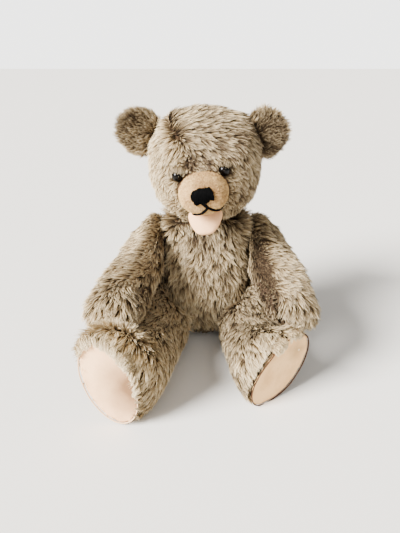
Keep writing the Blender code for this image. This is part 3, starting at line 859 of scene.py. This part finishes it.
def dress_ear(side):
    skin = stuffed_skin(f"ear_{side}_skin", [f"ear_{side}"], "head", 0.0012, voxel=0.003, cap=0.0005, passes=2)
    dress(skin, BACKING, "mohair_ear", 0.7, f"ear_{side}")
    low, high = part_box(f"ear_{side}")
    sign = 1 if side == "left" else -1
    base = np.array((sign * 0.046, (low.y + high.y) / 2, (low.z + high.z) / 2 - 0.012))
    middle = np.array((low + high) / 2)

    def flow(p, n):
        out = p - base
        out[:, 1] *= 0.4
        return out + 0.008 * np.stack([wander(p, 220, k + 31) for k in range(3)], axis=1)

    def front(p, n):
        rim = np.linalg.norm(p - middle, axis=1)
        return smooth(-n[:, 1], 0.1, 0.6) * smooth(rim, 0.027, 0.018)

    groom = {
        "weight": constant(1.0),
        "flow": flow,
        "length": lambda p, n: (0.0105 - 0.004 * front(p, n)) * (1 + 0.3 * wander(p, 140, 38)),
        "lift": lambda p, n: 0.35 + 0.35 * front(p, n),
        # The left ear's front is darker than the right ear's: painted shade on the side away from the light.
        "tint": lambda p, n: 0.12 + (0.55 if sign > 0 else 0.38) * front(p, n) + 0.16 * wander(p, 200, 37),
        "pull": 0.4,
        "wave": 0.05,
        "width": 0.0007,
        "slot": "mohair_ear",
    }
    make_pile(f"ear_{side}_pile", skin, "head", STRANDS["ear"], groom, 41)


# Face

NOSE_PLACE = (-0.004, 0.200)
FACE_TILT = radians(8)
# Millimetres across and up from the middle of the nose, on the tilted face
NOSE_EDGE = (
    (-12.9, 0.8), (-10.8, 4.9), (-4.3, 7.0), (6.3, 6.8), (8.5, 4.2), (9.9, -3.4), (9.1, -5.0),
    (5.5, -4.1), (2.6, -6.3), (-1.2, -7.1), (-4.9, -6.0), (-7.7, -7.9), (-9.9, -6.6), (-12.8, -0.4),
)
MOUTH = (
    ((-3.6, -4.0), (-2.6, -7.0), (-0.1, -9.9), (2.4, -12.0)),
    ((-2.0, -4.0), (-1.0, -6.6), (1.0, -9.4), (2.8, -12.0)),
    ((2.6, -12.0), (-1, -15.2), (-5, -17.4), (-9, -18.6), (-13.6, -18.8)),
    ((2.6, -12.0), (6, -14.4), (10, -16.5), (14, -17.6), (17.6, -17.6)),
)


def on_face(across, up):
    """The x and z of a place on the tilted face, from millimetres across and up from the nose."""
    x = NOSE_PLACE[0] + (across * cos(FACE_TILT) - up * sin(FACE_TILT)) / 1000
    return x, NOSE_PLACE[1] + (across * sin(FACE_TILT) + up * cos(FACE_TILT)) / 1000


def front_of(tree, x, z, proud):
    hit, normal, _, _ = tree.ray_cast(Vector((x, -0.2, z)), Vector((0, 1, 0)))
    return hit + normal * proud


def nose_span(across):
    """Top and bottom of the nose at a place across it."""
    heights = []
    for (x0, z0), (x1, z1) in zip(NOSE_EDGE, NOSE_EDGE[1:] + NOSE_EDGE[:1]):
        if min(x0, x1) <= across <= max(x0, x1) and x0 != x1:
            heights.append(z0 + (z1 - z0) * (across - x0) / (x1 - x0))
    return max(heights), min(heights)


def far_from_line(points, line):
    """How far each point lies from a line of straight pieces."""
    away = np.full(len(points), np.inf)
    for start, end in zip(np.array(line), np.array(line)[1:]):
        way = end - start
        t = np.clip((points - start) @ way / (way @ way), 0, 1)
        away = np.minimum(away, np.linalg.norm(points - start - t[:, None] * way, axis=1))
    return away


def off_stitches(p):
    """0 under the nose and along the mouth, 1 elsewhere on the muzzle."""
    across, up = (p[:, 0] - NOSE_PLACE[0]) * 1000, (p[:, 2] - NOSE_PLACE[1]) * 1000
    tilted = across * cos(FACE_TILT) + up * sin(FACE_TILT)
    place = np.stack([tilted, up * cos(FACE_TILT) - across * sin(FACE_TILT)], axis=1)
    keep = np.where((np.abs(place[:, 0] + 1.5) < 11.5) & (np.abs(place[:, 1]) < 7.2), 0.0, 1.0)
    for route in MOUTH:
        keep *= far_from_line(place, route) > 1.7
    return keep


def muzzle_tone_and_shade(p, n):
    """The clipped pile's tone: darker round the nose, painted shade down the left side, away from the light, and darker
    towards the seam at the back.
    """
    nose = np.hypot(p[:, 0] - NOSE_PLACE[0], p[:, 2] - NOSE_PLACE[1])
    # The left side is darker: painted shade, away from the light.
    tone = 0.06 + 0.16 * wander(p, 170, 91) + 0.28 * smooth(p[:, 0], 0.0, 0.02)
    tone += 0.5 * smooth(nose, 0.0175, 0.010) + 0.16 * smooth(p[:, 1], -0.078, -0.068)
    return tone


def dress_face():
    skin = soft_copy("muzzle_skin", "muzzle_cover", "head", 0.0020, 10)
    dress(skin, SHORN, "shorn_mohair", 0.95, "muzzle_cover")
    tree = BVHTree.FromObject(skin, bpy.context.evaluated_depsgraph_get())
    rng = np.random.default_rng(5)
    stitches = []
    for across in np.linspace(-12.0, 9.4, 26):
        top, bottom = nose_span(across)
        top += rng.uniform(-0.2, 0.4)
        bottom -= rng.uniform(-0.2, 0.5)
        lean = rng.normal() * 0.25
        line = []
        for t in np.linspace(0, 1, 9):
            x, z = on_face(across + lean * t, top + (bottom - top) * t)
            line.append(front_of(tree, x, z, 0.0004 + 0.0017 * sin(pi * min(max(t, 0.06), 0.94)) ** 0.5))
        stitches.append(line)
    nose = thread("nose_threads", stitches, 0.00075, "head", BLACK)
    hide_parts("nose_stitching")
    lines = []
    for route in MOUTH:
        route = np.array(route)
        place = np.linspace(0, len(route) - 1, 16)
        across = np.interp(place, np.arange(len(route)), route[:, 0])
        up = np.interp(place, np.arange(len(route)), route[:, 1])
        lines.append([front_of(tree, *on_face(a, b), 0.0009) for a, b in zip(across, up)])
    mouth = thread("mouth_threads", lines, 0.0013, "head", BLACK)
    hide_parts("mouth_stitching")
    jaw = soft_copy("jaw_tongue", "lower_jaw", "head", 0.0012, 10)
    dress(jaw, JAW_FELT, "jaw_felt", 0.8, "lower_jaw")
    seam = []
    middle = Vector((-0.004, -0.0655, 0.195))
    count = 60
    for k in range(count):
        way = Vector((cos(2 * pi * k / count), 0, sin(2 * pi * k / count)))
        hit = tree.ray_cast(middle + way * 0.08, -way)[0]
        seam.append(hit + Vector((0, 0.0022, 0)) + way * 0.0002)
    fuzz = {
        "weight": lambda p, n: off_stitches(p) * (p[:, 1] < -0.052),
        "flow": lambda p, n: p - np.array((-0.004, -0.11, 0.202)),
        "length": constant(0.0022),
        "lift": constant(0.45),
        "tint": muzzle_tone_and_shade,
        "finish": CLIPPED,
        "pull": 0.2,
        "width": 0.0006,
        "shade_gaps": constant(0.05),
        "slot": "shorn_mohair",
        "start": constant(0.5),
    }
    make_pile("muzzle_fuzz", skin, "head", STRANDS["muzzle"], fuzz, 91, 1)
    thread("muzzle_seam", [seam], 0.0009, "head", SEAM, cyclic=True)


# Limbs

# The strip down the left arm's inner side, where the pile is shorter and is painted darker as shade.
WORN_AND_SHADED_STRIP = (
    (0.0605, -0.048, 0.132), (0.0585, -0.0684, 0.1146), (0.0663, -0.0953, 0.1045),
    (0.0679, -0.1202, 0.0928), (0.0735, -0.130, 0.074),
)


def arm_flow(sign):
    def flow(p, n):
        out = np.tile(np.array((sign * 0.75, -0.35, -0.5)), (len(p), 1))
        out += np.outer(smooth(-p[:, 1], 0.10, 0.135), np.array((-sign * 0.45, -0.5, -0.9)))
        out += 0.3 * np.stack([wander(p, 110, k + 51) for k in range(3)], axis=1)
        return out
    return flow


def strip_share(p):
    """1 on the worn strip down the inner side of the left arm, where the pile is shorter and painted darker as shade, 0
    away from it.
    """
    return smooth(far_from_line(p, WORN_AND_SHADED_STRIP), 0.011, 0.006)


def dress_arm(side):
    sign = 1 if side == "left" else -1
    body = f"arm_{side}"
    nodes = [f"{body}_cover", f"{body}_stuffing", f"shoulder_{side}_limb_disc", f"shoulder_{side}_limb_washer"]
    skin = stuffed_skin(f"{body}_skin", nodes, body)

    def slope(p):
        high = smooth(p[:, 2], 0.106, 0.142) * smooth(p[:, 0] * sign, 0.06, 0.092)
        return high[:, None] * np.array((-sign * 0.007, 0.0, -0.006 if sign > 0 else -0.010))

    reshape(skin, slope)
    dress(skin, BACKING, "mohair", 0.9, f"{body}_cover", f"{body}_stuffing")
    low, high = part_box(f"{body}_paw_pad")
    middle = np.array((low + high) / 2)

    def on_palm(p):
        return np.linalg.norm((p - middle) / np.array((0.016, 0.025, 0.015)), axis=1)

    def weight(p, n):
        return near_joint(p, body, 0.018) * np.where(on_palm(p) < 0.85, 0.0, 1)

    # The worn strip: shorter pile, and in its colour painted shade.
    def worn(p):
        return strip_share(p) if sign > 0 else np.zeros(len(p))

    def length(p, n):
        top = smooth(p[:, 2], 0.125, 0.15)
        hand = smooth(-p[:, 1], 0.11, 0.14)
        away = np.linalg.norm(p - JOINTS[body][0], axis=1)
        pressed = smooth(-n[:, 0] * sign, 0.8, 0.95) * smooth(away, 0.045, 0.03)
        return 0.0135 * (1 - 0.45 * top + 0.2 * hand) * (1 - 0.6 * worn(p)) * (1 - 0.6 * pressed)

    def tint(p, n):
        inner = smooth(-n[:, 0] * sign, 0.3, 0.8) * smooth(p[:, 2], 0.145, 0.125)
        low = smooth(-p[:, 1], 0.07, 0.11) * (0.1 if sign > 0 else -0.06)
        # Painted shade: the inner sides, where the arms hang against the body, are darker, most on the left arm, away
        # from the light; the strip darker still.
        return 0.08 + 0.14 * wander(p, 120, 57) + (0.45 if sign > 0 else 0.12) * inner + low + 0.5 * worn(p)

    groom = {
        "weight": weight,
        "flow": arm_flow(sign),
        "length": length,
        "lift": constant(0.33),
        "tint": tint,
        "pull": 0.62,
        "wave": 0.09,
        "drift": 0.28,
        "shade_gaps": constant(0.17 if sign < 0 else 0.22),
    }
    make_pile(f"{body}_pile", skin, body, STRANDS["arm"], groom, 61 if sign > 0 else 62)
    pad = soft_copy(f"{body}_palm", f"{body}_paw_pad", body, 0.0012, 3)
    dress(pad, PAW_FELT, "felt", 0.8, f"{body}_paw_pad")
    fuzz = {
        "weight": constant(1.0),
        "flow": arm_flow(sign),
        "length": constant(0.0045 if sign > 0 else 0.009),
        "lift": constant(0.5),
        # The left palm's fuzz is darker than the right's: painted shade on the side away from the light.
        "tint": lambda p, n: (0.75 if sign > 0 else 0.3) + 0.15 * wander(p, 300, 59),
        "width": 0.0007,
        "shade_gaps": constant(0.1),
        "slot": "felt",
    }
    make_pile(f"{body}_palm_fuzz", pad, body, STRANDS["palm"], fuzz, 63 if sign > 0 else 64)


def leg_flow(sign):
    def flow(p, n):
        out = np.tile(np.array((sign * 0.15, -1.0, 0.0)), (len(p), 1))
        out[:, 2] -= 0.45 * smooth(np.abs(n[:, 0]), 0.2, 0.8)
        hip = smooth(p[:, 1], -0.035, 0.0)[:, None]
        out = out * (1 - hip) + hip * np.array((sign * 1.1, -0.45, -0.35))
        out += 0.22 * np.stack([wander(p, 100, k + 71) for k in range(3)], axis=1)
        return out
    return flow


def sole_of(body):
    """The middle of the felt sole and the way that it faces."""
    corners, _, areas = arrays_of(NODES[f"{body}_foot_pad"])
    facing = unit(square_to(corners))
    front = facing[:, 1] < -0.6
    way = unit((facing[front] * areas[front, None]).sum(axis=0))
    return corners[front].reshape(-1, 3).mean(axis=0), way


def foot_change(p, sign, sole, sole_way):
    """Fills out the left heel on its inner side, and bulges the right foot up over its toes."""
    across = unit(np.cross(sole_way, (0, 0, 1)))
    offset = p - sole
    behind = offset @ sole_way
    if sign > 0:
        share = smooth(0.75 * (offset @ across) - 0.45 * offset[:, 2], 0.002, 0.034) * smooth(behind, -0.06, -0.012)
        return share[:, None] * across * 0.0065
    share = smooth(offset[:, 2], 0.016, 0.04) * smooth(behind, -0.045, -0.014)
    return share[:, None] * np.array((0.0, 0.0, 0.012))


def dress_leg(side):
    sign = 1 if side == "left" else -1
    body = f"leg_{side}"
    nodes = [f"{body}_cover", f"{body}_stuffing", f"{body}_insole", f"hip_{side}_limb_disc", f"hip_{side}_limb_washer"]
    skin = stuffed_skin(f"{body}_skin", nodes, body)
    sole, sole_way = sole_of(body)
    reshape(skin, lambda p: foot_change(p, sign, sole, sole_way))
    dress(skin, BACKING, "mohair", 0.9, f"{body}_cover", f"{body}_stuffing")

    def weight(p, n):
        at_sole = (p - sole) @ sole_way > -0.012
        bare = at_sole & ((n @ sole_way > 0.75) | (p[:, 2] < 0.006))
        return near_joint(p, body, 0.02) * np.where(bare, 0.0, 1)

    rise = 1.0 if sign < 0 else 0.5

    def toe(p, n):
        """1 on top of the foot behind the edge of the sole, where the pile is paler and stands up."""
        reach = 0.028 if sign < 0 else 0.0
        return smooth((p - sole) @ sole_way, -0.035 - reach, -0.012 - reach) * smooth(n[:, 2], 0.0, 0.5)

    def trimmed(p):
        """1 along the seam of the left sole, where the pile is short and stands clear of it."""
        return smooth((p - sole) @ sole_way, -0.015, -0.004) * (sign > 0)

    def tint(p, n):
        inner = smooth(-n[:, 0] * sign, 0.0, 0.8) * smooth(p[:, 1], -0.09, -0.04)
        near = smooth((p - sole) @ sole_way, -0.03, -0.008) * (sign < 0)
        # Painted light and shade: the left leg is darker than the right, as shade on the side away from the light; the
        # top of the foot is paler, partly its cream tufts and partly painted light where it faces up to the light.
        return 0.13 * wander(p, 110, 77) - 0.5 * toe(p, n) - 0.2 * near + 0.04 * inner + (0.3 if sign > 0 else -0.06)

    groom = {
        "weight": weight,
        "flow": leg_flow(sign),
        "length": lambda p, n: (0.0125 + 0.004 * rise * toe(p, n)) * (1 - 0.6 * trimmed(p)),
        "lift": lambda p, n: 0.28 + 0.25 * rise * toe(p, n) + 0.7 * trimmed(p),
        "tint": tint,
        "pull": 0.5,
        "wave": 0.06,
        "drift": 0.22,
        "shade_gaps": lambda p, n: (0.2 if sign > 0 else 0.1) * (1 - 0.9 * toe(p, n)),
        # The right leg's strands start paler at the root, and the toes' more so: painted light over the self-shadow
        # among the locks.
        "start": lambda p, n: (0.22 if sign < 0 else 0.0) + 0.3 * rise * toe(p, n),
    }
    make_pile(f"{body}_pile", skin, body, STRANDS["leg"], groom, 81 if sign > 0 else 82)
    pad = soft_copy(f"{body}_sole", f"{body}_foot_pad", body, 0.0015, 3)
    if sign > 0:
        reshape(pad, lambda p: foot_change(p, sign, sole, sole_way))
    dress(pad, SOLES[side], "felt", 0.8, f"{body}_foot_pad")
    dress_sole_edge(body, sign, sole, sole_way)


RIM_POINTS = 96


def sole_rim(body, sole, sole_way):
    """A smooth closed line round the felt sole, with the across and up ways of its plane."""
    corners, _, _ = arrays_of(NODES[f"{body}_foot_pad"])
    points = np.unique(np.round(corners.reshape(-1, 3), 6), axis=0)
    points = points[(points - sole) @ sole_way > -0.0008]
    across = unit(np.cross(sole_way, (0, 0, 1)))
    up = np.cross(across, sole_way)
    turn = np.arctan2((points - sole) @ up, (points - sole) @ across)
    order = np.argsort(turn)
    turn = turn[order]
    reach = np.linalg.norm(points[order] - sole, axis=1)
    steps = np.linspace(-pi, pi, RIM_POINTS, endpoint=False)
    even = np.interp(steps, turn, reach, period=2 * pi)
    waves = np.fft.rfft(even)
    waves[7:] = 0
    even = np.fft.irfft(waves, RIM_POINTS) - 0.0002
    return sole + even[:, None] * (np.cos(steps)[:, None] * across + np.sin(steps)[:, None] * up), across, up


def dress_sole_edge(body, sign, sole, sole_way):
    """The sewn edge of the sole, and the long tufts that hang over it."""
    rim, across, up = sole_rim(body, sole, sole_way)
    rim = rim + sole_way * 0.0005
    if sign > 0:
        rim = rim + foot_change(rim, sign, sole, sole_way)
    stitch = SEAM if sign > 0 else PALE_SEAM
    thread(f"{body}_sole_seam", [[Vector(p) for p in rim]], 0.0007, body, stitch, cyclic=True)
    rng = np.random.default_rng(86 if sign > 0 else 85)
    # How far the pile hangs over the edge: most over the toes and, on the right foot, down the inner side
    place = np.linspace(0, 1, len(rim), endpoint=False)
    turn = -pi + 2 * pi * place
    over_top = smooth(np.sin(turn), 0.35, 0.9)
    inner = smooth(np.cos(turn) * (1 if across[0] > 0 else -1) * -sign, 0.1, 0.7)
    points, tints = [], []

    def add_tuft(k, size, back, crest, run=0.0, spread=0.0015):
        """One tuft from behind the edge: up by its crest, over the felt by its size, down along the edge by its run."""
        inward = unit(sole - rim[k])
        along = np.cross(inward, sole_way)
        along *= -np.sign(along[2])
        tone = rng.uniform(0.0, 0.08)
        head = rim[k] - inward * 0.0015 - sole_way * (0.0015 + back) - along * run * 0.4
        tip = rim[k] + inward * size + along * (run * 0.6 + rng.normal() * 0.3 * size) + sole_way * 0.003
        for _ in range(STRANDS["tuft"]):
            shift = along * rng.normal() * spread - inward * abs(rng.normal()) * 0.001
            start = head + shift
            end = tip + shift * 0.3 + rng.normal(size=3) * 0.0005
            rise = (start + end) / 2 + (sole_way * (size + 0.004) - inward * crest) * rng.uniform(0.3, 0.55)
            half = unit(np.cross(end - start, sole_way) + rng.normal(size=3) * 0.004) * 0.0004
            row = []
            for t in (0.0, 0.55):
                middle = start * (1 - t) ** 2 + rise * 2 * t * (1 - t) + end * t * t
                row += [middle - half * (1 - 0.4 * t), middle + half * (1 - 0.4 * t)]
            row.append(end)
            points.append(row)
            # One strand in ten is darker: painted shade between the strands of a tuft.
            tints.append(tone + rng.uniform(0, 0.12) + 0.3 * (rng.random() < 0.1))

    if sign < 0:
        for k in rng.choice(len(rim), size=150, p=over_top / over_top.sum()):
            add_tuft(k, 0.0035 * over_top[k] * rng.uniform(0, 1.3), rng.uniform(0.0, 0.016), 0.034 * over_top[k])
        for k in np.flatnonzero((inner > 0.4) & (rim[:, 2] > 0.014))[::3]:
            high = smooth(np.sin(turn[k]), -0.35, 0.1)
            for _ in range(2):
                add_tuft(k, 0.003 * rng.uniform(0.2, 1), 0.007 - 0.003 * high, 0.014, 0.012 * high, 0.0006)
    else:
        top = smooth(np.sin(turn), 0.8, 0.97)
        for k in rng.choice(len(rim), size=40, p=top / top.sum()):
            add_tuft(k, 0.006 * rng.uniform(0.1, 1.1), rng.uniform(0.0, 0.008), 0.012)
    blades(f"{body}_toe_tufts", np.array(points), tints, 2, body, 0.42)


# Stage, lights and camera

def pale_finish(name, colour):
    made = Finish(name)
    cloud = made.noise(3, 2, 0.5)
    tone = made.mix(cloud * 0.3, colour, tuple(c * 0.96 for c in colour))
    made.set(Base_Color=tone, Roughness=0.7)
    return made.material


def make_stage():
    bpy.ops.object.select_all(action="DESELECT")
    bpy.ops.mesh.primitive_plane_add(size=60, location=(0, 0, 0))
    floor = bpy.context.object
    floor.name = "floor"
    floor.data.materials.append(pale_finish("floor_paint", rgb(231, 228, 222)))
    world = bpy.data.worlds.new("studio")
    world.use_nodes = True
    tree = world.node_tree
    lit = tree.nodes["Background"]
    lit.inputs["Color"].default_value = (1.0, 0.985, 0.96, 1)
    lit.inputs["Strength"].default_value = 0.5
    seen = tree.nodes.new("ShaderNodeBackground")
    seen.inputs["Color"].default_value = (1, 0.995, 0.975, 1)
    seen.inputs["Strength"].default_value = 3.5
    path = tree.nodes.new("ShaderNodeLightPath")
    blend = tree.nodes.new("ShaderNodeMixShader")
    tree.links.new(path.outputs["Is Camera Ray"], blend.inputs[0])
    tree.links.new(lit.outputs[0], blend.inputs[1])
    tree.links.new(seen.outputs[0], blend.inputs[2])
    tree.links.new(blend.outputs[0], tree.nodes["World Output"].inputs[0])
    bpy.context.scene.world = world


def make_lights():
    """A large window high on the bear's right, and a weak fill from the room."""
    suns = (("window", (1.5, 0.85, -1.05), 20.0, 28), ("fill", (-0.4, 1.5, -1.0), 0.9, 60))
    for name, way, strength, angle in suns:
        data = bpy.data.lights.new(name, "SUN")
        data.energy = strength
        data.angle = radians(angle)
        data.color = (1.0, 0.975, 0.94)
        light = linked(name, data)
        light.location = (0, 0, 1)
        light.rotation_euler = Vector(way).to_track_quat("-Z", "Y").to_euler()


LOOK_DOWN = 23  # degrees


def make_camera():
    data = bpy.data.cameras.new("camera")
    data.sensor_width = 36
    data.lens = 32.4
    camera = linked("camera", data)
    camera.location = (-0.0078, -0.5707, 0.3223)
    camera.rotation_euler = (radians(90 - LOOK_DOWN), 0, 0)
    bpy.context.scene.camera = camera


HARDBOARD = board_finish("hardboard", rgb(122, 84, 52), 160.0)
CARD = board_finish("card", rgb(176, 152, 116), 240.0)
STEEL = steel_finish()
HIDDEN = {"_disc": HARDBOARD, "_washer": STEEL, "_pin": STEEL, "_insole": CARD}

for name, node in NODES.items():
    node.data.materials.clear()
    node.data.materials.append(next((made for end, made in HIDDEN.items() if name.endswith(end)), BACKING))
make_camera()
dress_torso()
dress_head()
dress_face()
for side in ("left", "right"):
    dress_arm(side)
    dress_leg(side)
make_stage()
make_lights()
